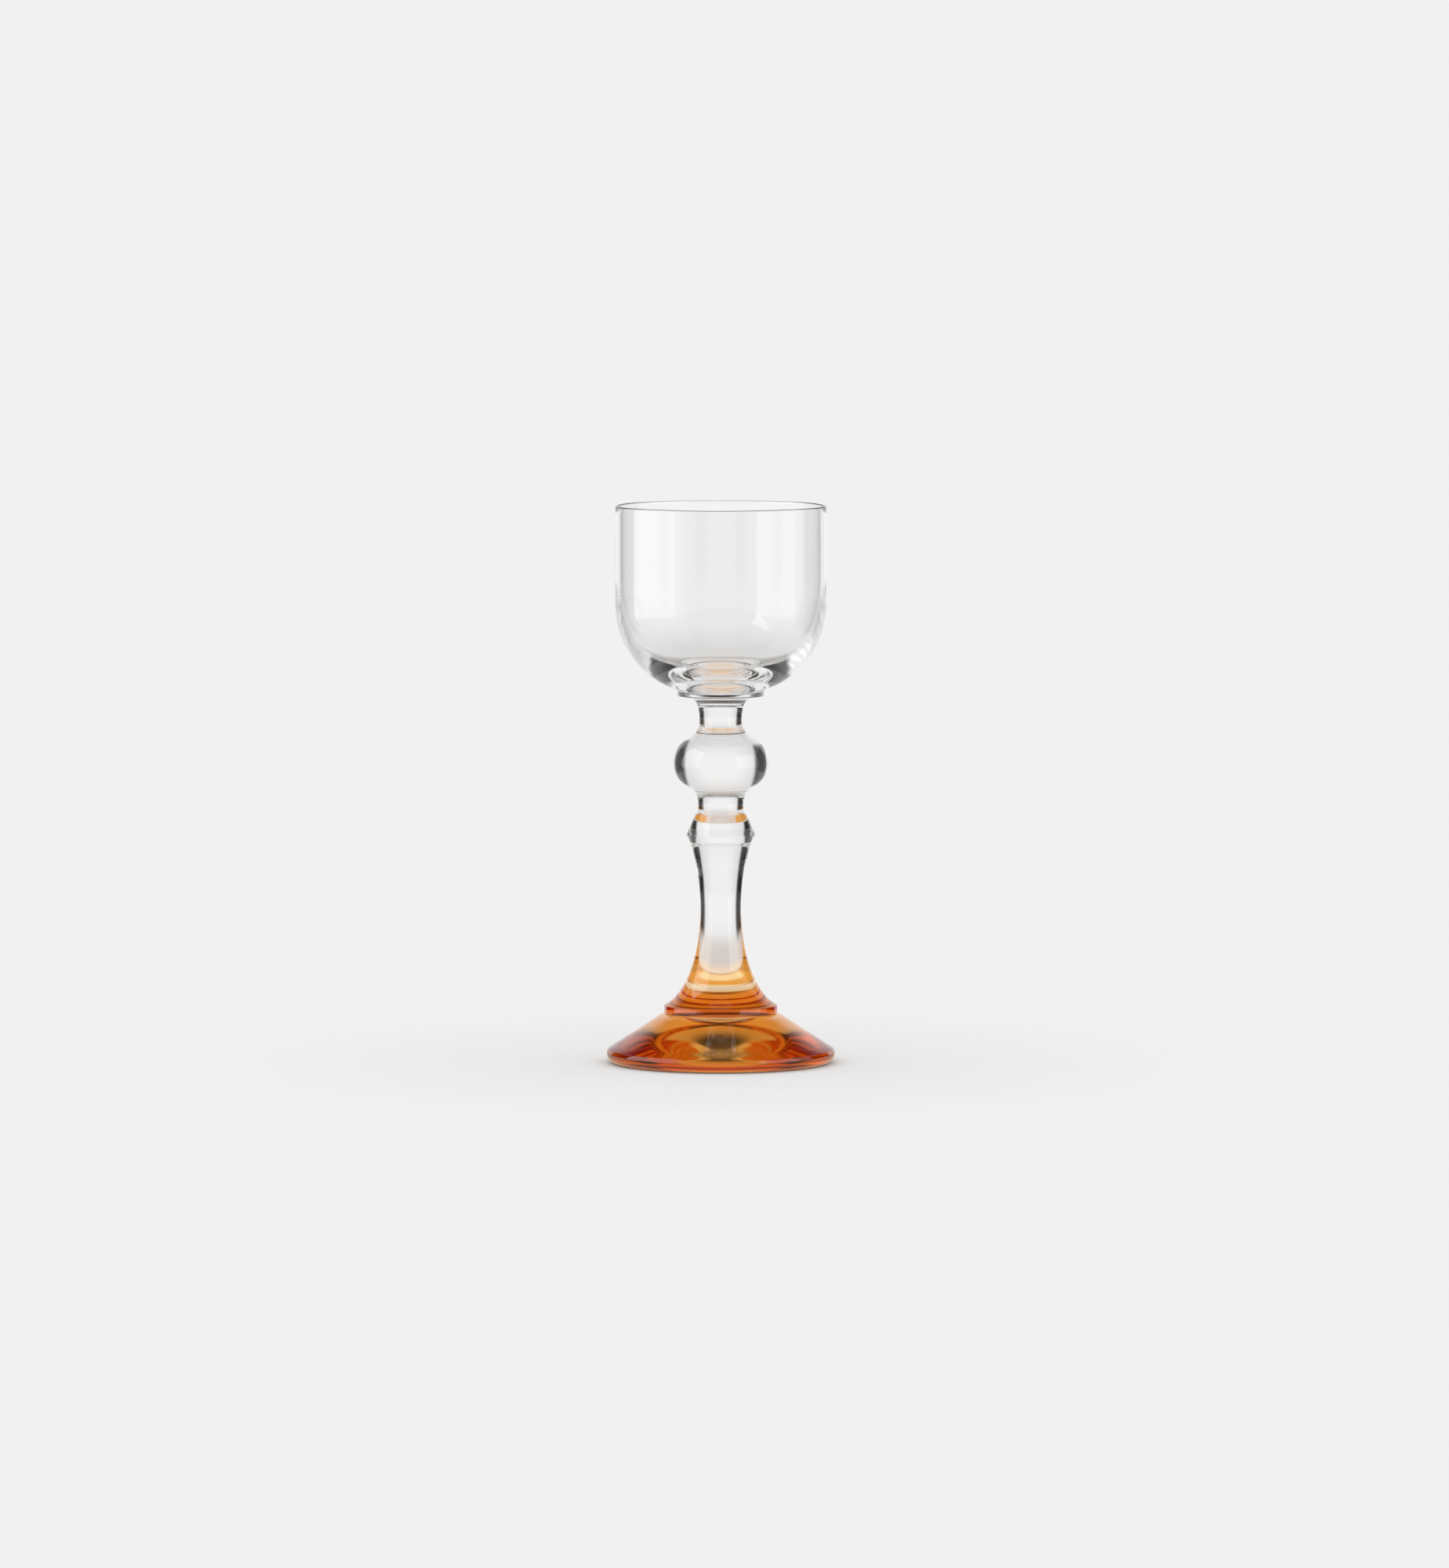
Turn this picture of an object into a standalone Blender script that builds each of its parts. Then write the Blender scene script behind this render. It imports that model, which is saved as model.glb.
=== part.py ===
"""Stemmed vodka glass: a clear bowl on a knopped stem, over an amber foot.

The glass is built up from nine gathers of hot glass, one on top of the other.
Each is turned about the upright axis and sits on a flat face of the one below.
Metres, +Z up, with the origin in the middle of the base.
"""

import math

import bpy

# The stack: the slit left at each fused face
JOINT_GAP = 0.0003

# How finely the pieces are turned about the axis, and their outlines drawn
TURN_STEPS = 48
AXIS_MERGE = 0.00001
EDGE_STEPS = 3
COVE_STEPS = 5
RIM_STEPS = 8
SWEEP_STEPS = 12
BELLY_STEPS = 14

# Foot: a low cone with a round rim, resting on a flat ring round a shallow kick
FOOT_RADIUS = 0.02765
FOOT_HEIGHT = 0.0116
FOOT_RIM_ROUND = 0.0021
REST_WIDTH = 0.0030
KICK_HEIGHT = 0.0036
KICK_CROWN = 1.6
KICK_LIP_ROUND = 0.0006

# Foot ring: a thin step between the foot and the stem
RING_RADIUS = 0.0137
RING_HEIGHT = 0.0019
RING_EDGE_ROUND = 0.0003
FOOT_LEDGE = 0.0005

# Shank: a slender column that opens like a trumpet towards the foot
SHANK_HEIGHT = 0.03925
SHANK_WAIST_RADIUS = 0.0050
SHANK_WAIST_HEIGHT = 0.0231
SHANK_TOP_RADIUS = 0.0074
SHANK_RING_STEP = 0.0003
SHANK_FLARE_TURN = 77.16

# Angular knop: a short cone, widest near its base, with a crisp edge
ANGULAR_KNOP_RADIUS = 0.0083
ANGULAR_KNOP_HEIGHT = 0.0065
ANGULAR_KNOP_EDGE_HEIGHT = 0.0018
ANGULAR_KNOP_TOP_RADIUS = 0.0061
ANGULAR_KNOP_SHANK_STEP = 0.0001
ANGULAR_KNOP_EDGE_ROUND = 0.0003
ANGULAR_KNOP_ROUND_ABOVE = 30
ANGULAR_KNOP_ROUND_BELOW = 25

# Necks: short drawn-in stems under and over the ball knop
LOWER_NECK_RADIUS = 0.00555
LOWER_NECK_HEIGHT = 0.0039
UPPER_NECK_RADIUS = 0.00522
UPPER_NECK_HEIGHT = 0.0043
NECK_END_FLARE = 0.00025

# Ball knop: a flattened ball that coves into a collar at each end
BALL_KNOP_RADIUS = 0.01155
BALL_KNOP_SIDE_ROUND = 0.00646
BALL_KNOP_COLLAR_RADIUS = 0.00575
BALL_KNOP_COLLAR_HEIGHT = 0.0016
BALL_KNOP_COVE_ROUND = 0.0035

# Merese: the thin disc under the bowl, with a cove down to the neck
MERESE_RADIUS = 0.0105
MERESE_DISC_HEIGHT = 0.00135
MERESE_EDGE_ROUND = 0.0004
MERESE_COVE_ROUND = 0.0030

# Bowl: straight sides over a full round belly, thin at the rim and heavy at the heel
BOWL_RADIUS = 0.0255
BOWL_HEIGHT = 0.04468
BOWL_BELLY_HEIGHT = 0.0217
BOWL_BELLY_FULLNESS = 2.15
BOWL_RIM_WALL = 0.0007
BOWL_WALL = 0.00072
BOWL_HEEL = 0.0030
BOWL_INSIDE_LEAD = 0.00523
BOWL_INSIDE_FULLNESS = 2.53

CLEAR_COLOUR = (0.93, 0.94, 0.94, 1.0)
AMBER_COLOUR = (0.80, 0.30, 0.05, 1.0)
GLASS_IOR = 1.5
GLASS_ROUGHNESS = 0.02


def arc(centre, radius, start, end, steps):
    """Points on a circle in the (radius, height) plane, between two angles in degrees."""
    angles = [math.radians(start + (end - start) * i / steps) for i in range(steps + 1)]
    return [(centre[0] + radius * math.cos(a), centre[1] + radius * math.sin(a)) for a in angles]


def belly(radius, height, fullness, start, end, steps):
    """A squared-off ellipse, from start to end as shares of a quarter turn, level with its middle at 0."""
    points = []
    for i in range(steps + 1):
        turn = math.pi / 2 * (start + (end - start) * i / steps)
        across = radius * abs(math.cos(turn)) ** (2 / fullness)
        down = height * abs(math.sin(turn)) ** (2 / fullness)
        points.append((across, -down))
    return points


def foot_profile():
    rim = (FOOT_RADIUS - FOOT_RIM_ROUND, FOOT_RIM_ROUND)
    top_radius = RING_RADIUS + FOOT_LEDGE
    # The cone leaves the top edge and touches the round rim.
    across = rim[0] - top_radius
    drop = FOOT_HEIGHT - rim[1]
    lean = math.atan2(across, drop) + math.asin(FOOT_RIM_ROUND / math.hypot(across, drop))
    # The kick ends in a lip, a small round that leads its side into the flat ring.
    kick_radius = rim[0] - REST_WIDTH
    slope = math.atan(KICK_CROWN * KICK_HEIGHT / kick_radius)
    lip = (kick_radius + KICK_LIP_ROUND * math.tan(slope / 2), KICK_LIP_ROUND)
    lip_round = arc(lip, KICK_LIP_ROUND, -90, -90 - math.degrees(slope), EDGE_STEPS)
    profile = [(0.0, FOOT_HEIGHT), (top_radius, FOOT_HEIGHT)]
    profile += arc(rim, FOOT_RIM_ROUND, 90 - math.degrees(lean), -90, RIM_STEPS)
    profile += lip_round
    for i in range(1, RIM_STEPS + 1):
        radius = lip_round[-1][0] * (1 - i / RIM_STEPS)
        profile.append((radius, KICK_HEIGHT * (1 - (radius / kick_radius) ** KICK_CROWN)))
    return profile


def ring_profile():
    middle = RING_RADIUS - RING_EDGE_ROUND
    profile = [(0.0, RING_HEIGHT)]
    profile += arc((middle, RING_HEIGHT - RING_EDGE_ROUND), RING_EDGE_ROUND, 90, 0, EDGE_STEPS)
    profile += arc((middle, RING_EDGE_ROUND), RING_EDGE_ROUND, 0, -90, EDGE_STEPS)
    return profile + [(0.0, 0.0)]


def shank_profile():
    flare_radius = RING_RADIUS - SHANK_RING_STEP
    upper = SHANK_HEIGHT - SHANK_WAIST_HEIGHT
    profile = [(0.0, SHANK_HEIGHT)]
    for i in range(RIM_STEPS + 1):
        share = 1 - i / RIM_STEPS
        radius = SHANK_WAIST_RADIUS + (SHANK_TOP_RADIUS - SHANK_WAIST_RADIUS) * share**2
        profile.append((radius, SHANK_WAIST_HEIGHT + upper * share))
    # Below the waist the column opens along part of an ellipse.
    sweep = math.sin(math.radians(SHANK_FLARE_TURN))
    full_sweep = 1 - math.sqrt(1 - sweep**2)
    for i in range(1, SWEEP_STEPS + 1):
        share = math.sin(math.pi / 2 * i / SWEEP_STEPS)
        opening = (1 - math.sqrt(1 - (sweep * share) ** 2)) / full_sweep
        radius = SHANK_WAIST_RADIUS + (flare_radius - SHANK_WAIST_RADIUS) * opening
        profile.append((radius, SHANK_WAIST_HEIGHT * (1 - share)))
    return profile + [(0.0, 0.0)]


def angular_knop_profile():
    edge = (ANGULAR_KNOP_RADIUS - ANGULAR_KNOP_EDGE_ROUND, ANGULAR_KNOP_EDGE_HEIGHT)
    profile = [(0.0, ANGULAR_KNOP_HEIGHT), (ANGULAR_KNOP_TOP_RADIUS, ANGULAR_KNOP_HEIGHT)]
    above = ANGULAR_KNOP_ROUND_ABOVE
    below = ANGULAR_KNOP_ROUND_BELOW
    profile += arc(edge, ANGULAR_KNOP_EDGE_ROUND, above, -below, EDGE_STEPS)
    base_radius = SHANK_TOP_RADIUS + ANGULAR_KNOP_SHANK_STEP
    return profile + [(base_radius, 0.0), (0.0, 0.0)]


def neck_profile(radius, height):
    profile = [(0.0, height)]
    for i in range(2 * EDGE_STEPS + 1):
        share = 1 - i / EDGE_STEPS
        profile.append((radius + NECK_END_FLARE * share**2, height * (1 + share) / 2))
    return profile + [(0.0, 0.0)]


def ball_knop_half_height():
    return BALL_KNOP_SIDE_ROUND + BALL_KNOP_COLLAR_HEIGHT


def ball_knop_profile():
    middle = ball_knop_half_height()
    centre = BALL_KNOP_RADIUS - BALL_KNOP_SIDE_ROUND
    # The cove's centre lies where its circle touches the ball and passes through the collar's edge.
    across = BALL_KNOP_COLLAR_RADIUS - centre
    reach = math.hypot(across, middle)
    apart = BALL_KNOP_SIDE_ROUND + BALL_KNOP_COVE_ROUND
    along = (apart**2 - BALL_KNOP_COVE_ROUND**2 + reach**2) / (2 * reach)
    aside = math.sqrt(apart**2 - along**2)
    cove = (
        centre + (along * across + aside * middle) / reach,
        (along * middle - aside * across) / reach,
    )
    touch = math.degrees(math.atan2(cove[1], cove[0] - centre))
    collar = math.degrees(math.atan2(middle - cove[1], BALL_KNOP_COLLAR_RADIUS - cove[0])) % 360
    upper = arc(cove, BALL_KNOP_COVE_ROUND, collar, 180 + touch, COVE_STEPS)
    side = arc((centre, 0.0), BALL_KNOP_SIDE_ROUND, touch, -touch, SWEEP_STEPS)
    lower = [(radius, -height) for radius, height in reversed(upper)]
    outline = [(0.0, middle)] + upper + side[1:-1] + lower + [(0.0, -middle)]
    return [(radius, height + middle) for radius, height in outline]


def merese_profile():
    top = MERESE_COVE_ROUND + MERESE_DISC_HEIGHT
    neck_radius = UPPER_NECK_RADIUS + NECK_END_FLARE
    edge = MERESE_RADIUS - MERESE_EDGE_ROUND
    profile = [(0.0, top)]
    profile += arc((edge, top - MERESE_EDGE_ROUND), MERESE_EDGE_ROUND, 90, 0, EDGE_STEPS)
    profile += arc((edge, MERESE_COVE_ROUND + MERESE_EDGE_ROUND), MERESE_EDGE_ROUND, 0, -90, EDGE_STEPS)
    profile += arc((neck_radius + MERESE_COVE_ROUND, 0.0), MERESE_COVE_ROUND, 90, 180, COVE_STEPS)
    return profile + [(0.0, 0.0)]


def bowl_profile():
    # The belly's ellipse is as deep as it must be to end at the merese's edge.
    seat_share = (MERESE_RADIUS / BOWL_RADIUS) ** BOWL_BELLY_FULLNESS
    belly_depth = BOWL_BELLY_HEIGHT / (1 - seat_share) ** (1 / BOWL_BELLY_FULLNESS)
    seat_turn = math.acos(seat_share**0.5) / (math.pi / 2)
    outside = belly(BOWL_RADIUS, belly_depth, BOWL_BELLY_FULLNESS, 0, seat_turn, BELLY_STEPS)
    # The inside starts to close higher up than the outside, so the wall thickens towards the heel.
    inside_top = BOWL_BELLY_HEIGHT + BOWL_INSIDE_LEAD
    inside_radius = BOWL_RADIUS - BOWL_WALL
    inside = belly(inside_radius, inside_top - BOWL_HEEL, BOWL_INSIDE_FULLNESS, 1, 0, BELLY_STEPS)
    rim_round = BOWL_RIM_WALL / 2
    rim = arc((BOWL_RADIUS - rim_round, BOWL_HEIGHT - rim_round), rim_round, 180, 0, EDGE_STEPS)
    profile = [(radius, height + inside_top) for radius, height in inside]
    profile[0] = (0.0, BOWL_HEEL)
    profile += rim
    profile += [(radius, height + BOWL_BELLY_HEIGHT) for radius, height in outside]
    return profile + [(0.0, 0.0)]


def glass(name, colour):
    material = bpy.data.materials.new(name)
    material.use_nodes = True
    shader = material.node_tree.nodes["Principled BSDF"]
    shader.inputs["Base Color"].default_value = colour
    shader.inputs["Roughness"].default_value = GLASS_ROUGHNESS
    shader.inputs["Metallic"].default_value = 0.0
    shader.inputs["IOR"].default_value = GLASS_IOR
    shader.inputs["Transmission Weight"].default_value = 1.0
    material.diffuse_color = colour
    return material


def turned(name, profile, colour, seat, stand, collection):
    """A solid turned from a profile that runs from the top of the axis, down the outside, to its foot."""
    mesh = bpy.data.meshes.new(name)
    edges = [(i, i + 1) for i in range(len(profile) - 1)]
    mesh.from_pydata([(radius, 0.0, height) for radius, height in profile], edges, [])
    piece = bpy.data.objects.new(name, mesh)
    piece.data.materials.append(glass(name + "_glass", colour))
    piece.location.z = seat
    piece.parent = stand
    collection.objects.link(piece)
    turn = piece.modifiers.new("Turn", "SCREW")
    turn.axis = "Z"
    turn.steps = TURN_STEPS
    turn.render_steps = TURN_STEPS
    turn.use_merge_vertices = True
    turn.merge_threshold = AXIS_MERGE
    turn.use_smooth_shade = True
    return piece


for old in list(bpy.data.objects):
    bpy.data.objects.remove(old, do_unlink=True)

glass_parts = bpy.data.collections.new("vodka_glass")
bpy.context.scene.collection.children.link(glass_parts)
base_centre = bpy.data.objects.new("base_centre", None)
glass_parts.objects.link(base_centre)

# From the table up: name, profile, height and colour of each gather
GATHERS = [
    ("foot", foot_profile(), FOOT_HEIGHT, AMBER_COLOUR),
    ("foot_ring", ring_profile(), RING_HEIGHT, AMBER_COLOUR),
    ("shank", shank_profile(), SHANK_HEIGHT, CLEAR_COLOUR),
    ("angular_knop", angular_knop_profile(), ANGULAR_KNOP_HEIGHT, CLEAR_COLOUR),
    ("lower_neck", neck_profile(LOWER_NECK_RADIUS, LOWER_NECK_HEIGHT), LOWER_NECK_HEIGHT, CLEAR_COLOUR),
    ("ball_knop", ball_knop_profile(), 2 * ball_knop_half_height(), CLEAR_COLOUR),
    ("upper_neck", neck_profile(UPPER_NECK_RADIUS, UPPER_NECK_HEIGHT), UPPER_NECK_HEIGHT, CLEAR_COLOUR),
    ("bowl_merese", merese_profile(), MERESE_COVE_ROUND + MERESE_DISC_HEIGHT, CLEAR_COLOUR),
    ("bowl", bowl_profile(), BOWL_HEIGHT, CLEAR_COLOUR),
]

seat = 0.0
for name, profile, height, colour in GATHERS:
    turned(name, profile, colour, seat, base_centre, glass_parts)
    seat += height + JOINT_GAP
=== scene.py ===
"""A clear stemmed vodka glass on an amber foot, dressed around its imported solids."""

import math

import bpy
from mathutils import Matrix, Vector, noise


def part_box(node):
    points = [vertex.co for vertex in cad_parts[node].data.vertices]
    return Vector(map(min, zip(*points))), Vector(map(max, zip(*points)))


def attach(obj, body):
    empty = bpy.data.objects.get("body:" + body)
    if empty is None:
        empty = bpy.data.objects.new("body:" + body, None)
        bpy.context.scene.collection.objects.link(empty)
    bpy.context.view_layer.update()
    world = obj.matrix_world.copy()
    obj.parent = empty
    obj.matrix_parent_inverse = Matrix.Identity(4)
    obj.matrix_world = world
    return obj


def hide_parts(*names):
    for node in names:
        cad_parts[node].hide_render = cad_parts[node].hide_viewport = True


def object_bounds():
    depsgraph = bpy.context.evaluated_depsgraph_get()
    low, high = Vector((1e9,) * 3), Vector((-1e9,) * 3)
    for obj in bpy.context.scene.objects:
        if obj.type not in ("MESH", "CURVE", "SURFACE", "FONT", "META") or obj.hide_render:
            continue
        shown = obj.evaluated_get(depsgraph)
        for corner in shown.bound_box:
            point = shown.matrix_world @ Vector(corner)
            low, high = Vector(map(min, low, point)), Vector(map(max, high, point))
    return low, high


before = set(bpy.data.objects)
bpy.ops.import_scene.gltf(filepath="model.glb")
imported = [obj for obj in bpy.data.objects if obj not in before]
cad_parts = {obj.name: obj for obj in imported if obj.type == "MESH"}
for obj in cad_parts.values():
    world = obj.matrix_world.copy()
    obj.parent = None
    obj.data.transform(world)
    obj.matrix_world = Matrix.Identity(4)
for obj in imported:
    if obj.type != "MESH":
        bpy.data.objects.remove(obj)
cad_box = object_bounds()

# Foot: a low cone of amber glass with a round rim, dropped hot and spread with a paddle.
# A shallow kick is pressed up into it from below, so that it stands on a flat ring at its edge.
FOOT_RIM_ROUND = 0.0021
FOOT_LEDGE = 0.0005
REST_WIDTH = 0.0030
KICK_HEIGHT = 0.0036
KICK_CROWN = 1.6
KICK_LIP_ROUND = 0.0006
RING_EDGE_ROUND = 0.0003
KICK_STEPS = 48
LIP_STEPS = 8
FOOT_RIM_STEPS = 32
CONE_STEPS = 8

TURN_STEPS = 288
CRISP_EDGE = 38
FUSED_SLIT = 0.00002
HAND_WAVE = 0.00003
HAND_PITCH = 90.0
HAND_SEED = 7
STEADY_HEIGHT = 0.01

AMBER_BODY = (0.944, 0.639, 0.019, 1.0)
AMBER_DEPTH = 108.0
AMBER_SKIN = (1.0, 1.0, 1.0, 1.0)
GLASS_IOR = 1.5
FUSED_IOR = 1.0
FINE_GRAIN = 0.05
COARSE_GRAIN = 0.15
GRAIN_PITCH = 160.0
GRAIN_PATCHES = (0.3, 0.7)
CORD_PITCH = 70.0
CORD_STRETCH = (1.0, 1.0, 4.0)
CORD_HEIGHT = 0.000002


def arc(middle, reach, start, end, steps):
    """Points on a circle in the (radius, height) plane, between two angles in degrees."""
    turns = [math.radians(start + (end - start) * i / steps) for i in range(steps + 1)]
    return [(middle[0] + reach * math.cos(t), middle[1] + reach * math.sin(t)) for t in turns]


def straight(start, end, steps):
    """Points on the line between two (radius, height) points, without those two."""
    across, up = end[0] - start[0], end[1] - start[1]
    return [(start[0] + across * i / steps, start[1] + up * i / steps) for i in range(1, steps)]


def fused_face(lower, upper):
    """Heights of the two sides of a fused joint, in the middle of the slit between the solids."""
    middle = (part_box(lower)[1].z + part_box(upper)[0].z) / 2
    return middle - FUSED_SLIT / 2, middle + FUSED_SLIT / 2


def widest(node):
    """How far a solid reaches from the axis."""
    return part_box(node)[1].x


def hand_moved(point):
    """Glass shaped by hand is nowhere quite round: a slight wave that dies out at the table."""
    settle = min(1.0, point.z / STEADY_HEIGHT)
    wave = noise.noise_vector(point * HAND_PITCH) * HAND_WAVE * settle
    return point + wave


def turn_glass(name, outline, finish, joins, fused=None):
    """Turns an outline of (radius, height) points, from the axis below to the axis above.

    joins says which ends are fused to a neighbour, "below", "above" or both. Those faces are
    marked in the face attribute "fused", and take the finish fused where one is given.
    """
    points, rings = [], []
    for radius, height in outline:
        start = len(points)
        if radius < FUSED_SLIT:
            points.append(hand_moved(Vector((0.0, 0.0, height))))
            rings.append([start] * TURN_STEPS)
            continue
        for i in range(TURN_STEPS):
            turn = 2 * math.pi * i / TURN_STEPS
            point = Vector((radius * math.cos(turn), radius * math.sin(turn), height))
            points.append(hand_moved(point))
        rings.append(list(range(start, start + TURN_STEPS)))
    faces, at_joint = [], []
    last = len(rings) - 2
    for i in range(len(rings) - 1):
        joint = (i == 0 and "below" in joins) or (i == last and "above" in joins)
        for j in range(TURN_STEPS):
            k = (j + 1) % TURN_STEPS
            corners = [rings[i][j], rings[i][k], rings[i + 1][k], rings[i + 1][j]]
            faces.append(list(dict.fromkeys(corners)))
            at_joint.append(joint)
    mesh = bpy.data.meshes.new(name)
    mesh.from_pydata(points, [], faces)
    mesh.shade_smooth()
    mesh.set_sharp_from_angle(angle=math.radians(CRISP_EDGE))
    mesh.materials.append(finish)
    if fused:
        mesh.materials.append(fused)
        mesh.polygons.foreach_set("material_index", [int(joint) for joint in at_joint])
    marks = mesh.attributes.new("fused", "FLOAT", "FACE")
    marks.data.foreach_set("value", [float(joint) for joint in at_joint])
    piece = bpy.data.objects.new(name, mesh)
    bpy.context.scene.collection.objects.link(piece)
    return piece


def wind_cords(nodes, links, shader):
    """Cords, the faint threads that wind round the axis in glass that was turned while soft."""
    place = nodes.new("ShaderNodeTexCoord")
    drawn = nodes.new("ShaderNodeMapping")
    drawn.inputs["Scale"].default_value = CORD_STRETCH
    cords = nodes.new("ShaderNodeTexNoise")
    cords.inputs["Scale"].default_value = CORD_PITCH
    skin = nodes.new("ShaderNodeBump")
    skin.inputs["Distance"].default_value = CORD_HEIGHT
    links.new(place.outputs["Object"], drawn.inputs["Vector"])
    links.new(drawn.outputs["Vector"], cords.inputs["Vector"])
    links.new(cords.outputs["Fac"], skin.inputs["Height"])
    links.new(skin.outputs["Normal"], shader.inputs["Normal"])


def in_patches(nodes, links, pitch, patches, least, most):
    """A roughness that comes and goes over the surface in soft patches, from least to most."""
    place = nodes.new("ShaderNodeTexCoord")
    spread = nodes.new("ShaderNodeTexNoise")
    spread.inputs["Scale"].default_value = pitch
    level = nodes.new("ShaderNodeMapRange")
    level.inputs["From Min"].default_value = patches[0]
    level.inputs["From Max"].default_value = patches[1]
    level.inputs["To Min"].default_value = least
    level.inputs["To Max"].default_value = most
    links.new(place.outputs["Object"], spread.inputs["Vector"])
    links.new(spread.outputs["Fac"], level.inputs["Value"])
    return level.outputs["Result"]


def amber_glass(pressed_radius):
    """Glass coloured in the body, and polished except where the plate pressed its underside."""
    finish = bpy.data.materials.new("amber_body_glass")
    finish.use_nodes = True
    nodes, links = finish.node_tree.nodes, finish.node_tree.links
    shader = nodes["Principled BSDF"]
    shader.inputs["Base Color"].default_value = AMBER_SKIN
    shader.inputs["Transmission Weight"].default_value = 1.0
    wind_cords(nodes, links, shader)
    # The underside keeps the fine grain of the plate it was pressed on, in patches.
    place = nodes.new("ShaderNodeTexCoord")
    parts = nodes.new("ShaderNodeSeparateXYZ")
    under = nodes.new("ShaderNodeMath")
    under.operation = "LESS_THAN"
    under.inputs[1].default_value = KICK_HEIGHT + FUSED_SLIT
    flat = nodes.new("ShaderNodeVectorMath")
    flat.operation = "MULTIPLY"
    flat.inputs[1].default_value = (1.0, 1.0, 0.0)
    away = nodes.new("ShaderNodeVectorMath")
    away.operation = "LENGTH"
    within = nodes.new("ShaderNodeMath")
    within.operation = "LESS_THAN"
    within.inputs[1].default_value = pressed_radius
    pressed = nodes.new("ShaderNodeMath")
    pressed.operation = "MULTIPLY"
    polish = nodes.new("ShaderNodeMath")
    polish.operation = "MULTIPLY"
    grain = in_patches(nodes, links, GRAIN_PITCH, GRAIN_PATCHES, FINE_GRAIN, COARSE_GRAIN)
    links.new(place.outputs["Object"], parts.inputs["Vector"])
    links.new(parts.outputs["Z"], under.inputs[0])
    links.new(place.outputs["Object"], flat.inputs[0])
    links.new(flat.outputs["Vector"], away.inputs[0])
    links.new(away.outputs["Value"], within.inputs[0])
    links.new(under.outputs["Value"], pressed.inputs[0])
    links.new(within.outputs["Value"], pressed.inputs[1])
    links.new(pressed.outputs["Value"], polish.inputs[0])
    links.new(grain, polish.inputs[1])
    links.new(polish.outputs["Value"], shader.inputs["Roughness"])
    # A fused face neither bends nor reflects light.
    at_joint = nodes.new("ShaderNodeAttribute")
    at_joint.attribute_name = "fused"
    index = nodes.new("ShaderNodeMapRange")
    index.inputs["To Min"].default_value = GLASS_IOR
    index.inputs["To Max"].default_value = FUSED_IOR
    links.new(at_joint.outputs["Fac"], index.inputs["Value"])
    links.new(index.outputs["Result"], shader.inputs["IOR"])
    colour = nodes.new("ShaderNodeVolumeAbsorption")
    colour.inputs["Color"].default_value = AMBER_BODY
    colour.inputs["Density"].default_value = AMBER_DEPTH
    links.new(colour.outputs["Volume"], nodes["Material Output"].inputs["Volume"])
    return finish


noise.seed_set(HAND_SEED)
foot_radius = widest("foot")
ring_radius = widest("foot_ring")
foot_top = fused_face("foot", "foot_ring")[0]
amber = amber_glass(foot_radius - FOOT_RIM_ROUND)
rim = (foot_radius - FOOT_RIM_ROUND, FOOT_RIM_ROUND)
shoulder = ring_radius + FOOT_LEDGE
cone_across = rim[0] - shoulder
cone_drop = foot_top - rim[1]
lean = math.atan2(cone_across, cone_drop)
lean += math.asin(FOOT_RIM_ROUND / math.hypot(cone_across, cone_drop))
kick_radius = rim[0] - REST_WIDTH
kick_lean = math.atan(KICK_CROWN * KICK_HEIGHT / kick_radius)
lip = (kick_radius + KICK_LIP_ROUND * math.tan(kick_lean / 2), KICK_LIP_ROUND)
lip_arc = arc(lip, KICK_LIP_ROUND, 270 - math.degrees(kick_lean), 270, LIP_STEPS)
outline = []
for i in range(KICK_STEPS):
    radius = lip_arc[0][0] * i / KICK_STEPS
    outline.append((radius, KICK_HEIGHT * (1 - (radius / kick_radius) ** KICK_CROWN)))
outline += lip_arc
outline += arc(rim, FOOT_RIM_ROUND, -90, 90 - math.degrees(lean), FOOT_RIM_STEPS)
outline += straight(outline[-1], (shoulder, foot_top), CONE_STEPS)
outline += [(shoulder, foot_top), (ring_radius - RING_EDGE_ROUND, foot_top), (0.0, foot_top)]
foot = turn_glass("amber_foot", outline, amber, ["above"])
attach(foot, "root")
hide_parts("foot")

# Foot ring: a thin step of the same amber glass on top of the foot, fused to it all over.
# Its edges are softened by the flame.
EDGE_STEPS = 8

ring_low = fused_face("foot", "foot_ring")[1]
ring_high = fused_face("foot_ring", "shank")[0]
ring_edge = ring_radius - RING_EDGE_ROUND
outline = [(0.0, ring_low)]
outline += arc((ring_edge, ring_low + RING_EDGE_ROUND), RING_EDGE_ROUND, -90, 0, EDGE_STEPS)
outline += arc((ring_edge, ring_high - RING_EDGE_ROUND), RING_EDGE_ROUND, 0, 90, EDGE_STEPS)
outline += [(0.0, ring_high)]
ring = turn_glass("amber_foot_ring", outline, amber, ["below", "above"])
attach(ring, "root")
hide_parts("foot_ring")

# Shank: a solid column of clear glass, drawn out to a waist and opened like a trumpet below.
# It is fused to the ring under it and to the angular knop over it.
SHANK_RING_STEP = 0.0003
SHANK_WAIST_RADIUS = 0.0050
SHANK_WAIST_RISE = 0.0231
SHANK_TOP_RADIUS = 0.0074
SHANK_FLARE_TURN = 77.16
FLARE_STEPS = 48
COLUMN_STEPS = 24

CLEAR_SKIN = (0.995, 0.996, 0.995, 1.0)
TOOL_DRAG = 0.03
DRAG_PITCH = 60.0
DRAG_PATCHES = (0.45, 0.75)


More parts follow.
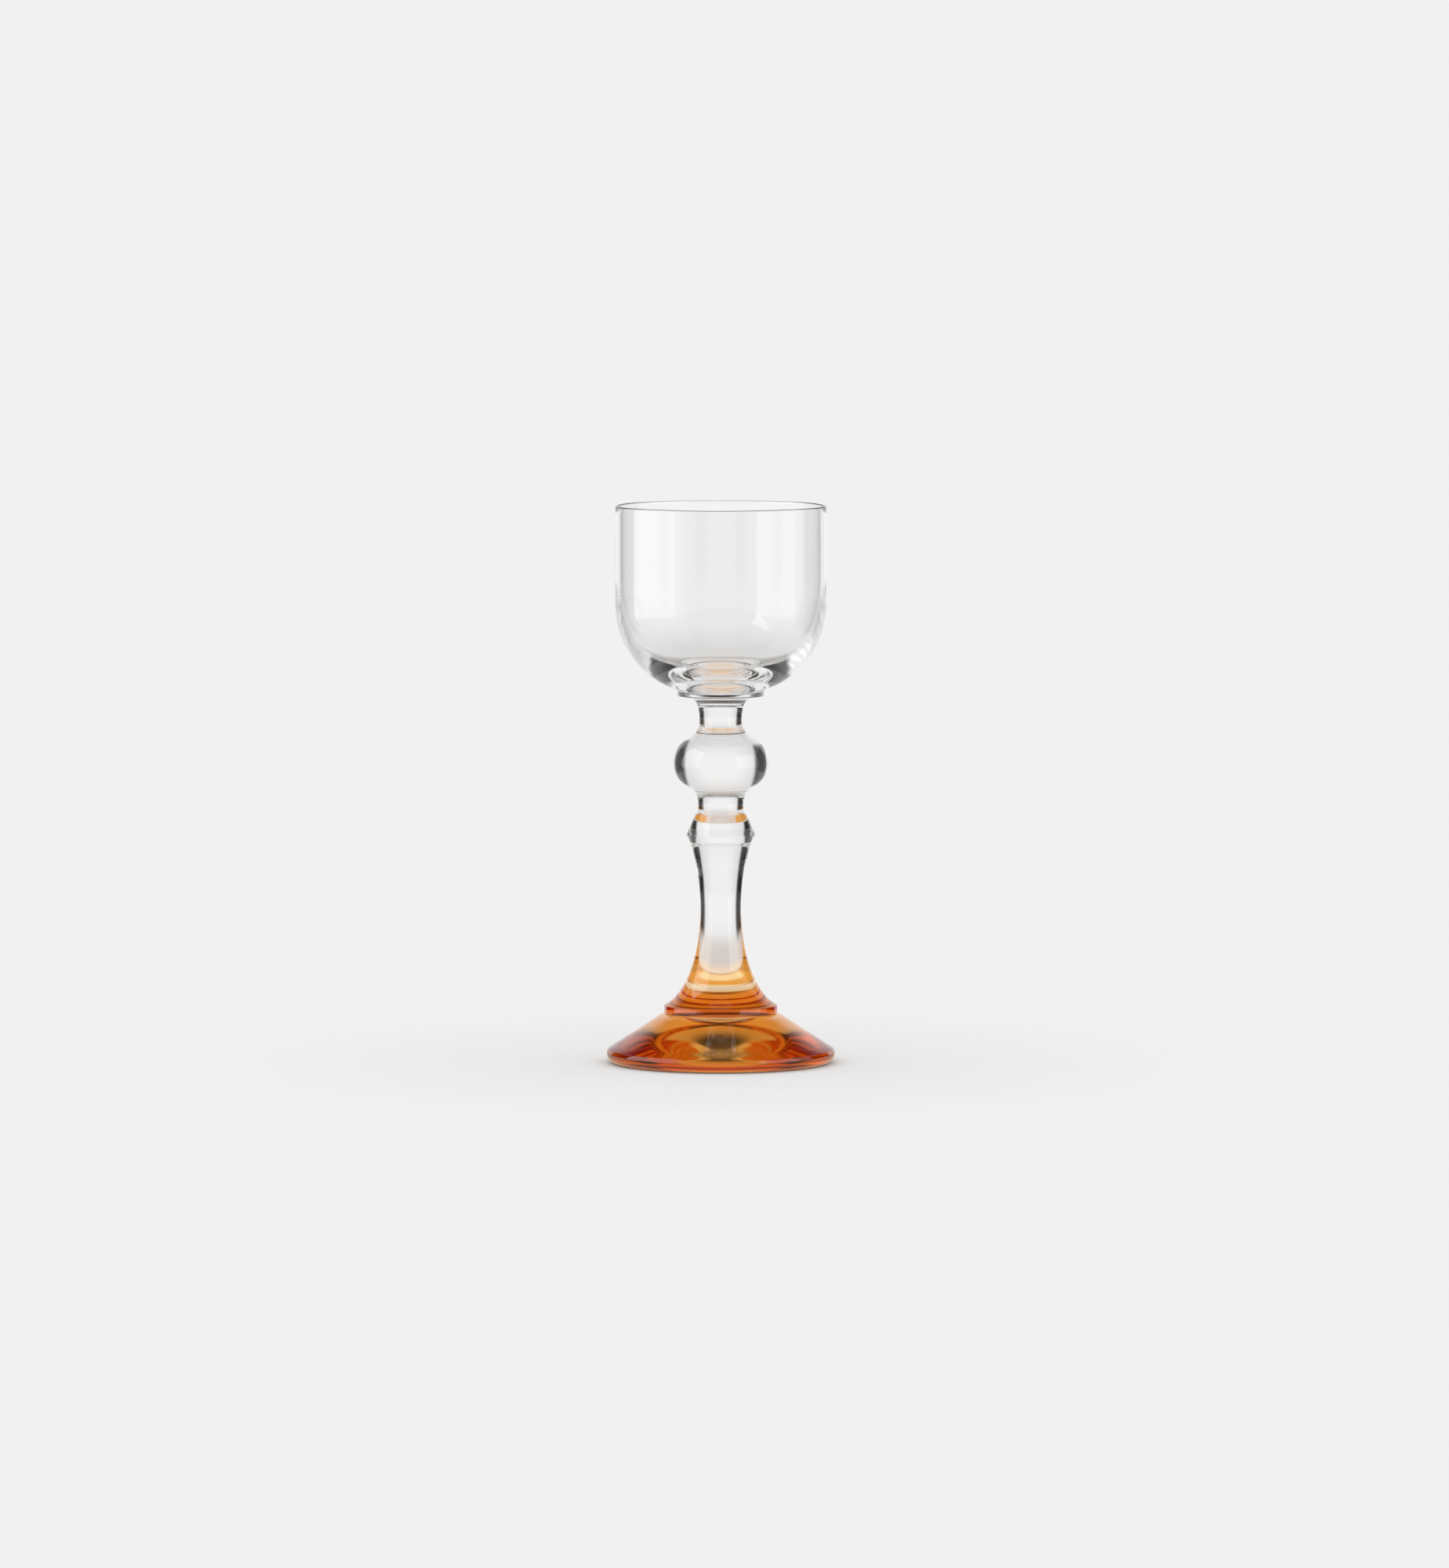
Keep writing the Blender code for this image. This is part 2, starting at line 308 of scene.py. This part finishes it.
def clear_glass():
    """Clear glass. The flame polishes it and leaves a faint drag of the tools in patches."""
    finish = bpy.data.materials.new("clear_body_glass")
    finish.use_nodes = True
    nodes, links = finish.node_tree.nodes, finish.node_tree.links
    shader = nodes["Principled BSDF"]
    shader.inputs["Base Color"].default_value = CLEAR_SKIN
    shader.inputs["IOR"].default_value = GLASS_IOR
    shader.inputs["Transmission Weight"].default_value = 1.0
    wind_cords(nodes, links, shader)
    drag = in_patches(nodes, links, DRAG_PITCH, DRAG_PATCHES, 0.0, TOOL_DRAG)
    links.new(drag, shader.inputs["Roughness"])
    return finish


def fused_glass():
    """Where two pieces of clear glass have run into one, light passes straight through."""
    finish = bpy.data.materials.new("fused_clear_glass")
    finish.use_nodes = True
    nodes, links = finish.node_tree.nodes, finish.node_tree.links
    nodes.remove(nodes["Principled BSDF"])
    passing = nodes.new("ShaderNodeBsdfTransparent")
    links.new(passing.outputs["BSDF"], nodes["Material Output"].inputs["Surface"])
    return finish


clear = clear_glass()
fused_clear = fused_glass()
shank_low = fused_face("foot_ring", "shank")[1]
shank_high = fused_face("shank", "angular_knop")[0]
waist = shank_low + SHANK_WAIST_RISE
sweep = math.sin(math.radians(SHANK_FLARE_TURN))
full_sweep = 1 - math.sqrt(1 - sweep**2)
flare_radius = ring_radius - SHANK_RING_STEP
outline = [(0.0, shank_low)]
for i in range(FLARE_STEPS):
    share = math.sin(math.pi / 2 * (1 - i / FLARE_STEPS))
    opening = (1 - math.sqrt(1 - (sweep * share) ** 2)) / full_sweep
    radius = SHANK_WAIST_RADIUS + (flare_radius - SHANK_WAIST_RADIUS) * opening
    outline.append((radius, waist - SHANK_WAIST_RISE * share))
for i in range(COLUMN_STEPS + 1):
    share = i / COLUMN_STEPS
    radius = SHANK_WAIST_RADIUS + (SHANK_TOP_RADIUS - SHANK_WAIST_RADIUS) * share**2
    outline.append((radius, waist + (shank_high - waist) * share))
outline += [(0.0, shank_high)]
shank = turn_glass("clear_shank", outline, clear, ["below", "above"], fused_clear)
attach(shank, "root")
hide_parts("shank")

# Angular knop: a short cone of clear glass, widest near its base, where the jacks pinched an edge.
# The shank is fused to its underside and the lower neck to its top.
KNOP_EDGE_RISE = 0.0018
KNOP_EDGE_ROUND = 0.0003
KNOP_EDGE_TURN = (-25, 30)
KNOP_TOP_RADIUS = 0.0061
KNOP_BASE_STEP = 0.0001
LOWER_NECK_RADIUS = 0.00555
NECK_END_FLARE = 0.00025

knop_low = fused_face("shank", "angular_knop")[1]
knop_high = fused_face("angular_knop", "lower_neck")[0]
knop_edge = (widest("angular_knop") - KNOP_EDGE_ROUND, knop_low + KNOP_EDGE_RISE)
outline = [(0.0, knop_low), (SHANK_TOP_RADIUS, knop_low)]
outline += [(SHANK_TOP_RADIUS + KNOP_BASE_STEP, knop_low)]
outline += arc(knop_edge, KNOP_EDGE_ROUND, *KNOP_EDGE_TURN, EDGE_STEPS)
outline += [(KNOP_TOP_RADIUS, knop_high), (LOWER_NECK_RADIUS + NECK_END_FLARE, knop_high)]
outline += [(0.0, knop_high)]
angular_knop = turn_glass("clear_angular_knop", outline, clear, ["below", "above"], fused_clear)
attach(angular_knop, "root")
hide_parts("angular_knop")

# Necks: two short drawn-in stems of clear glass, one under the ball knop and one over it.
# Each spreads a little at its ends, where it is fused on.
UPPER_NECK_RADIUS = 0.00522
BALL_COLLAR_RADIUS = 0.00575
NECK_STEPS = 16


def neck(name, node, radius, low, high):
    """One neck, with its top drawn in to the ball's collar where it would stand out past it."""
    outline = [(0.0, low)]
    for i in range(NECK_STEPS + 1):
        share = 2 * i / NECK_STEPS - 1
        outline.append((radius + NECK_END_FLARE * share**2, low + (high - low) * (1 + share) / 2))
    if BALL_COLLAR_RADIUS < outline[-1][0]:
        outline.append((BALL_COLLAR_RADIUS, high))
    outline.append((0.0, high))
    piece = turn_glass(name, outline, clear, ["below", "above"], fused_clear)
    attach(piece, "root")
    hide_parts(node)


neck("clear_lower_neck", "lower_neck", LOWER_NECK_RADIUS,
     fused_face("angular_knop", "lower_neck")[1], fused_face("lower_neck", "ball_knop")[0])
neck("clear_upper_neck", "upper_neck", UPPER_NECK_RADIUS,
     fused_face("ball_knop", "upper_neck")[1], fused_face("upper_neck", "bowl_merese")[0])

# Ball knop: a flattened ball of clear glass that coves into a small collar at each end.
# It is shaped in a wet block while it turns, and fused to the necks at its collars.
BALL_SIDE_ROUND = 0.00646
BALL_COVE_ROUND = 0.0035
BALL_SIDE_STEPS = 48
BALL_COVE_STEPS = 16

ball_low = fused_face("lower_neck", "ball_knop")[1]
ball_high = fused_face("ball_knop", "upper_neck")[0]
ball_middle = (ball_low + ball_high) / 2
half = (ball_high - ball_low) / 2
hub = widest("ball_knop") - BALL_SIDE_ROUND
# The cove's middle lies where it touches the ball's side and passes through the collar's edge.
across = BALL_COLLAR_RADIUS - hub
reach = math.hypot(across, half)
apart = BALL_SIDE_ROUND + BALL_COVE_ROUND
along = (apart**2 - BALL_COVE_ROUND**2 + reach**2) / (2 * reach)
aside = math.sqrt(apart**2 - along**2)
cove = (hub + (along * across + aside * half) / reach, (along * half - aside * across) / reach)
touch = math.degrees(math.atan2(cove[1], cove[0] - hub))
collar = math.degrees(math.atan2(half - cove[1], BALL_COLLAR_RADIUS - cove[0])) % 360
cove_middle = (cove[0], ball_middle + cove[1])
upper = arc(cove_middle, BALL_COVE_ROUND, 180 + touch, collar, BALL_COVE_STEPS)
side = arc((hub, ball_middle), BALL_SIDE_ROUND, -touch, touch, BALL_SIDE_STEPS)
lower = [(radius, 2 * ball_middle - height) for radius, height in reversed(upper)]
outline = [(0.0, ball_low)] + lower + side[1:-1] + upper
outline += [(UPPER_NECK_RADIUS + NECK_END_FLARE, ball_high), (0.0, ball_high)]
ball_knop = turn_glass("clear_ball_knop", outline, clear, ["below", "above"], fused_clear)
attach(ball_knop, "root")
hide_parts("ball_knop")

# Merese: the thin clear disc that the bowl is set on, with a cove down to the upper neck.
# It is pressed flat while hot, which leaves a fine groove under the bowl.
MERESE_EDGE_ROUND = 0.0004
MERESE_DISC_HEIGHT = 0.00135
MERESE_COVE_STEPS = 20

merese_low = fused_face("upper_neck", "bowl_merese")[1]
merese_high = fused_face("bowl_merese", "bowl")[0]
merese_radius = widest("bowl_merese")
merese_edge = merese_radius - MERESE_EDGE_ROUND
disc_low = merese_high - MERESE_DISC_HEIGHT
edge_low = (merese_edge, disc_low + MERESE_EDGE_ROUND)
edge_high = (merese_edge, merese_high - MERESE_EDGE_ROUND)
cove_foot = UPPER_NECK_RADIUS + NECK_END_FLARE
cove_round = disc_low - merese_low
outline = [(0.0, merese_low)]
outline += arc((cove_foot + cove_round, merese_low), cove_round, 180, 90, MERESE_COVE_STEPS)
outline += arc(edge_low, MERESE_EDGE_ROUND, -90, 0, EDGE_STEPS)
outline += arc(edge_high, MERESE_EDGE_ROUND, 0, 90, EDGE_STEPS)
outline += [(0.0, merese_high)]
merese = turn_glass("clear_merese", outline, clear, ["below", "above"], fused_clear)
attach(merese, "root")
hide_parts("bowl_merese")

# Bowl: blown clear glass, straight-sided over a round belly, with a thin fire-polished rim.
# The glass is left thick at the heel, where the bowl is fused to the merese.
BOWL_BELLY_RISE = 0.0217
BOWL_BELLY_FULLNESS = 2.15
BOWL_RIM_WALL = 0.0007
BOWL_WALL = 0.00072
BOWL_HEEL = 0.00306
BOWL_INSIDE_RISE = 0.02693
BOWL_INSIDE_FULLNESS = 2.53
BELLY_STEPS = 56
INSIDE_STEPS = 72
WALL_STEPS = 12
BOWL_RIM_STEPS = 16


def belly(radius, height, fullness, start, end, steps):
    """A squared-off quarter ellipse hung from height 0, between two shares of a quarter turn."""
    points = []
    for i in range(steps + 1):
        turn = math.pi / 2 * (start + (end - start) * i / steps)
        across = radius * abs(math.cos(turn)) ** (2 / fullness)
        points.append((across, -height * abs(math.sin(turn)) ** (2 / fullness)))
    return points


bowl_low = fused_face("bowl_merese", "bowl")[1]
bowl_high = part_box("bowl")[1].z
bowl_radius = widest("bowl")
belly_top = bowl_low + BOWL_BELLY_RISE
seat_share = (merese_radius / bowl_radius) ** BOWL_BELLY_FULLNESS
belly_depth = BOWL_BELLY_RISE / (1 - seat_share) ** (1 / BOWL_BELLY_FULLNESS)
seat_turn = math.acos(seat_share**0.5) / (math.pi / 2)
outside = belly(bowl_radius, belly_depth, BOWL_BELLY_FULLNESS, seat_turn, 0, BELLY_STEPS)
inside_radius = bowl_radius - BOWL_WALL
inside_top = bowl_low + BOWL_INSIDE_RISE
inside_depth = BOWL_INSIDE_RISE - BOWL_HEEL
inside = belly(inside_radius, inside_depth, BOWL_INSIDE_FULLNESS, 0, 1, INSIDE_STEPS)
rim_round = BOWL_RIM_WALL / 2
rim_middle = (bowl_radius - rim_round, bowl_high - rim_round)
outline = [(0.0, bowl_low), (merese_edge, bowl_low)]
outline += [(radius, belly_top + height) for radius, height in outside]
outline += straight((bowl_radius, belly_top), (bowl_radius, rim_middle[1]), WALL_STEPS)
outline += arc(rim_middle, rim_round, 0, 180, BOWL_RIM_STEPS)
outline += straight(outline[-1], (inside_radius, inside_top), WALL_STEPS)
outline += [(radius, inside_top + height) for radius, height in inside[:-1]]
outline += [(0.0, bowl_low + BOWL_HEEL)]
bowl = turn_glass("clear_bowl", outline, clear, ["below"], fused_clear)
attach(bowl, "root")
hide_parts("bowl")

# Floor: a round of plain pale board under the glass, which fades out into the backdrop.
# Seen through the glass or mirrored in it, the board glows with painted light set by distance from
# the middle: a painted amber pool under the foot and a painted shade round the line where the two
# touch.
FLOOR_RADIUS = 0.16
FLOOR_DROP = 0.0002
FLOOR_STEPS = 96
FADE_FROM = 0.45
FADE_TO = 0.98
PALE = 0.879
MATT = 1.0

# Painted light and shade for the board, by distance from the middle as a share of twice the foot's
# radius: painted white light under the middle, a painted amber pool under the foot, a painted dark
# shade under the rest ring, painted warm light near the foot and a dimmer painted grey round it.
PAINTED_LIGHT_UNDER_MIDDLE = (1.0, 1.0, 1.0, 1.0)
PAINTED_AMBER_UNDER_FOOT = (0.86, 0.56, 0.23, 1.0)
PAINTED_CONTACT_SHADE = (0.18, 0.09, 0.03, 1.0)
PAINTED_WARM_NEAR_FOOT = (0.82, 0.65, 0.49, 1.0)
PAINTED_LIGHT_ROUND_FOOT = (0.63, 0.585, 0.55, 1.0)
PAINTED_THROWN_LIGHT = (
    (0.15, PAINTED_LIGHT_UNDER_MIDDLE), (0.22, PAINTED_AMBER_UNDER_FOOT), (0.385, PAINTED_AMBER_UNDER_FOOT), (0.42, PAINTED_CONTACT_SHADE),
    (0.455, PAINTED_CONTACT_SHADE), (0.485, PAINTED_WARM_NEAR_FOOT), (0.65, PAINTED_WARM_NEAR_FOOT), (1.0, PAINTED_LIGHT_ROUND_FOOT))
PAINTED_LIGHT_REACH = 2 * foot_radius
PAINTED_GLOW_STRENGTH = 1.1

board_edge = []
for i in range(FLOOR_STEPS):
    turn = 2 * math.pi * i / FLOOR_STEPS
    board_edge.append((FLOOR_RADIUS * math.cos(turn), FLOOR_RADIUS * math.sin(turn), -FLOOR_DROP))
floor_mesh = bpy.data.meshes.new("pale_floor")
floor_mesh.from_pydata(board_edge, [], [list(range(FLOOR_STEPS))])
board = bpy.data.materials.new("pale_board")
board.use_nodes = True
nodes, links = board.node_tree.nodes, board.node_tree.links
shader = nodes["Principled BSDF"]
shader.inputs["Base Color"].default_value = (PALE, PALE, PALE, 1.0)
shader.inputs["Roughness"].default_value = MATT
shader.inputs["Specular IOR Level"].default_value = 0.0
place = nodes.new("ShaderNodeTexCoord")
away = nodes.new("ShaderNodeVectorMath")
away.operation = "LENGTH"
links.new(place.outputs["Object"], away.inputs[0])
# Seen through the glass or mirrored in it, the board glows in these painted colours. They stand in
# for the light that the foot throws and for its contact shade.
reach = nodes.new("ShaderNodeMapRange")
reach.inputs["From Max"].default_value = PAINTED_LIGHT_REACH
painted_light_ramp = nodes.new("ShaderNodeValToRGB")
painted_light_ramp.color_ramp.interpolation = "EASE"
stops = painted_light_ramp.color_ramp.elements
stops.remove(stops[1])
stops[0].position, stops[0].color = PAINTED_THROWN_LIGHT[0]
for share, colour in PAINTED_THROWN_LIGHT[1:]:
    stops.new(share).color = colour
# The painted glow: an emission in the painted colours, not light cast by the lamps.
painted_glow = nodes.new("ShaderNodeEmission")
painted_glow.inputs["Strength"].default_value = PAINTED_GLOW_STRENGTH
ray = nodes.new("ShaderNodeLightPath")
in_glass = nodes.new("ShaderNodeMath")
in_glass.operation = "MAXIMUM"
seen = nodes.new("ShaderNodeMixShader")
links.new(away.outputs["Value"], reach.inputs["Value"])
links.new(reach.outputs["Result"], painted_light_ramp.inputs["Fac"])
links.new(painted_light_ramp.outputs["Color"], painted_glow.inputs["Color"])
links.new(ray.outputs["Is Transmission Ray"], in_glass.inputs[0])
links.new(ray.outputs["Is Glossy Ray"], in_glass.inputs[1])
links.new(in_glass.outputs["Value"], seen.inputs["Fac"])
links.new(shader.outputs["BSDF"], seen.inputs[1])
links.new(painted_glow.outputs["Emission"], seen.inputs[2])
fade = nodes.new("ShaderNodeMapRange")
fade.interpolation_type = "SMOOTHERSTEP"
fade.inputs["From Min"].default_value = FLOOR_RADIUS * FADE_FROM
fade.inputs["From Max"].default_value = FLOOR_RADIUS * FADE_TO
gone = nodes.new("ShaderNodeBsdfTransparent")
faded = nodes.new("ShaderNodeMixShader")
links.new(away.outputs["Value"], fade.inputs["Value"])
links.new(fade.outputs["Result"], faded.inputs["Fac"])
links.new(seen.outputs["Shader"], faded.inputs[1])
links.new(gone.outputs["BSDF"], faded.inputs[2])
links.new(faded.outputs["Shader"], nodes["Material Output"].inputs["Surface"])
floor_mesh.materials.append(board)
floor = bpy.data.objects.new("pale_floor", floor_mesh)
bpy.context.scene.collection.objects.link(floor)

# Studio light: a pale backdrop, a dark flag at each side that draws the edges of the glass,
# and a soft box at each side of the camera. Light through the solid stem shows weaker boxes,
# and light through both walls of the bowl shows only a backdrop with darker seams.
BACKDROP = 0.92
BACKDROP_LOW = 0.74
BACKDROP_HIGH = 0.68
BACKDROP_SIDE = 0.72
BACKDROP_LOW_FADE = (5, 25)
BACKDROP_HIGH_FADE = (4, 36)
BACKDROP_SIDE_FADE = (8, 40)

BOWL_BACKDROP = 0.89
BACKDROP_SEAM = 0.4
HALF_SEAM_PITCH = 22.5
SEAM_FADE = (10, 20)
OFF_LEVEL_FADE = (5, 14)
BOTH_WALLS = 3.5
TABLE_EDGE = 0.03
TABLE_EDGE_PANEL = (-42, 14, -48, -27.5, 2)

CEILING = 0.05
CEILING_FADE = (32, 54)
MIRRORED_CEILING = 0.02
MIRRORED_CEILING_FADE = (22, 42)
OVERHEAD = 0.45
OVERHEAD_WIDE = (-0.27, 0.27, 0.04)
OVERHEAD_DEEP = (-0.6, 0.15, 0.06)

FLAG = 0.015
LEFT_FLAG_PANEL = (-74, -35, -19, 25, 4)
RIGHT_FLAG_PANEL = (38, 74, -19, 25, 4)
RIGHT_FLAG_THROUGH_PANEL = (38, 74, -30, 25, 4)

LEFT_BOX = 2.3
LEFT_BOX_PANEL = (-129, -70, -12, 50, 2)
RIGHT_BOX = 2.1
RIGHT_BOX_PANEL = (91, 140, -12, 30, 2)
LEFT_THROUGH = 1.3
LEFT_THROUGH_LOW = 0.9
LEFT_THROUGH_FADE = (4, 14)
LEFT_THROUGH_PANEL = (-129, -70, -12, 50, 6)
RIGHT_THROUGH = 0.55
RIGHT_THROUGH_PANEL = (91, 140, -12, 50, 10)

CAMERA_SIDE = 0.15
CAMERA_SIDE_THROUGH = 0.75
CAMERA_SIDE_FADE = (2, 20)
BEFORE_CAMERA_PANEL = (-140, 140, -91, 91, 8)
EVEN_LIGHT = 1.0

world = bpy.data.worlds.new("studio")
bpy.context.scene.world = world
world.use_nodes = True
world.cycles.sampling_method = "NONE"
nodes, links = world.node_tree.nodes, world.node_tree.links
background = nodes["Background"]


def reckon(operation, first, second=None):
    """One sum of two numbers or sockets."""
    node = nodes.new("ShaderNodeMath")
    node.operation = operation
    for socket, value in zip(node.inputs, (first, second)):
        if isinstance(value, (int, float)):
            socket.default_value = value
        elif value is not None:
            links.new(value, socket)
    return node.outputs["Value"]


def step_up(value, start, end):
    """0 below start and 1 above end, with a soft step between them."""
    node = nodes.new("ShaderNodeMapRange")
    node.interpolation_type = "SMOOTHSTEP"
    node.inputs["From Min"].default_value = start
    node.inputs["From Max"].default_value = end
    links.new(value, node.inputs["Value"])
    return node.outputs["Result"]


def turn_up(angle, start, end):
    """The same soft step for an angle, with its ends in degrees."""
    return step_up(angle, math.radians(start), math.radians(end))


def band(value, low, high, soft):
    """1 between low and high, 0 outside, with soft edges."""
    start = step_up(value, low - soft, low + soft)
    end = step_up(value, high - soft, high + soft)
    return reckon("SUBTRACT", start, end)


def panel(round_from, round_to, up_from, up_to, soft):
    """1 inside a panel, in degrees round from the backdrop and up from level, 0 outside."""
    limits = [math.radians(angle) for angle in (round_from, round_to, up_from, up_to, soft)]
    across = band(round_angle, limits[0], limits[1], limits[4])
    upward = band(up_angle, limits[2], limits[3], limits[4])
    return reckon("MULTIPLY", across, upward)


def laid_over(under, level, mask):
    """The level where the mask is 1, and what lies under it where the mask is 0."""
    node = nodes.new("ShaderNodeMix")
    for socket, value in (("Factor", mask), ("A", under), ("B", level)):
        target = node.inputs[socket]
        if isinstance(value, (int, float)):
            target.default_value = value
        else:
            links.new(value, target)
    return node.outputs["Result"]


way = nodes.new("ShaderNodeTexCoord")
parts = nodes.new("ShaderNodeSeparateXYZ")
ray = nodes.new("ShaderNodeLightPath")
links.new(way.outputs["Generated"], parts.inputs["Vector"])
round_angle = reckon("ARCTAN2", parts.outputs["X"], parts.outputs["Y"])
up_angle = reckon("ARCSINE", parts.outputs["Z"])
down_angle = reckon("MULTIPLY", up_angle, -1)
ceiling = turn_up(up_angle, *CEILING_FADE)
overhead = reckon("MULTIPLY", band(parts.outputs["X"], *OVERHEAD_WIDE),
                  band(parts.outputs["Y"], *OVERHEAD_DEEP))
overhead = reckon("MULTIPLY", overhead, reckon("GREATER_THAN", parts.outputs["Z"], 0))
behind_camera = reckon("SUBTRACT", 1.0, panel(*BEFORE_CAMERA_PANEL))
low_backdrop = laid_over(BACKDROP, BACKDROP_LOW, turn_up(down_angle, *BACKDROP_LOW_FADE))
backdrop = laid_over(low_backdrop, BACKDROP_HIGH, turn_up(up_angle, *BACKDROP_HIGH_FADE))

# What the skin of the glass mirrors
mirrored = laid_over(low_backdrop, MIRRORED_CEILING, turn_up(up_angle, *MIRRORED_CEILING_FADE))
mirrored = laid_over(mirrored, CAMERA_SIDE, behind_camera)
mirrored = laid_over(mirrored, FLAG, panel(*LEFT_FLAG_PANEL))
mirrored = laid_over(mirrored, FLAG, panel(*RIGHT_FLAG_PANEL))
mirrored = laid_over(mirrored, LEFT_BOX, panel(*LEFT_BOX_PANEL))
mirrored = laid_over(mirrored, RIGHT_BOX, panel(*RIGHT_BOX_PANEL))

# What shows through the solid stem
from_middle = reckon("ABSOLUTE", round_angle)
solid = laid_over(backdrop, BACKDROP_SIDE, turn_up(from_middle, *BACKDROP_SIDE_FADE))
solid = laid_over(solid, CEILING, ceiling)
solid = laid_over(solid, OVERHEAD, overhead)
camera_side = laid_over(CAMERA_SIDE_THROUGH, CEILING, turn_up(up_angle, *CAMERA_SIDE_FADE))
solid = laid_over(solid, camera_side, behind_camera)
solid = laid_over(solid, FLAG, panel(*LEFT_FLAG_PANEL))
solid = laid_over(solid, FLAG, panel(*RIGHT_FLAG_THROUGH_PANEL))
left_through = laid_over(LEFT_THROUGH_LOW, LEFT_THROUGH, turn_up(up_angle, *LEFT_THROUGH_FADE))
solid = laid_over(solid, left_through, panel(*LEFT_THROUGH_PANEL))
solid = laid_over(solid, RIGHT_THROUGH, panel(*RIGHT_THROUGH_PANEL))

# What shows through both walls of the bowl, the same from every side apart from the table's edge
off_level = turn_up(reckon("ABSOLUTE", up_angle), *OFF_LEVEL_FADE)
across_seam = reckon("PINGPONG", round_angle, math.radians(HALF_SEAM_PITCH))
seams = turn_up(across_seam, *SEAM_FADE)
seams = reckon("MULTIPLY", seams, reckon("SUBTRACT", 1.0, off_level))
between_seams = reckon("SUBTRACT", 1.0, reckon("MAXIMUM", seams, off_level))
hollow = laid_over(backdrop, BACKDROP_SEAM, seams)
hollow = laid_over(hollow, CEILING, ceiling)
hollow = laid_over(hollow, BOWL_BACKDROP, between_seams)
hollow = laid_over(hollow, OVERHEAD, overhead)
hollow = laid_over(hollow, TABLE_EDGE, panel(*TABLE_EDGE_PANEL))

crossed_both = reckon("GREATER_THAN", ray.outputs["Transmission Depth"], BOTH_WALLS)
through = laid_over(solid, hollow, crossed_both)
light = laid_over(mirrored, through, ray.outputs["Is Transmission Ray"])
light = laid_over(light, EVEN_LIGHT, ray.outputs["Is Diffuse Ray"])
light = laid_over(light, PALE, ray.outputs["Is Camera Ray"])
links.new(light, background.inputs["Color"])

# Camera: on a stand a little above the middle of the glass, far off with a long lens.
# Light is followed through many faces, because the whole glass is seen through itself.
CAMERA_AWAY = 2.47
CAMERA_RISE = 4.48
CAMERA_NEAREST = 0.05
AIM_ASIDE = 0.0009
PHOTO_HIGH = 0.3795
SENSOR_HIGH = 36.0
GLASS_FACES = 32

aim = Vector((AIM_ASIDE, 0.0, cad_box[1].z / 2))
rise = math.radians(CAMERA_RISE)
camera = bpy.data.objects.new("camera", bpy.data.cameras.new("camera"))
bpy.context.scene.collection.objects.link(camera)
camera.location = aim + Vector((0.0, -math.cos(rise), math.sin(rise))) * CAMERA_AWAY
camera.rotation_euler = (aim - camera.location).to_track_quat("-Z", "Y").to_euler()
camera.data.sensor_fit = "VERTICAL"
camera.data.sensor_height = SENSOR_HIGH
camera.data.lens = SENSOR_HIGH * CAMERA_AWAY / PHOTO_HIGH
camera.data.clip_start = CAMERA_NEAREST
scene = bpy.context.scene
scene.camera = camera
scene.view_settings.view_transform = "Standard"
scene.cycles.max_bounces = GLASS_FACES
scene.cycles.transmission_bounces = GLASS_FACES
scene.cycles.glossy_bounces = GLASS_FACES
scene.cycles.transparent_max_bounces = GLASS_FACES
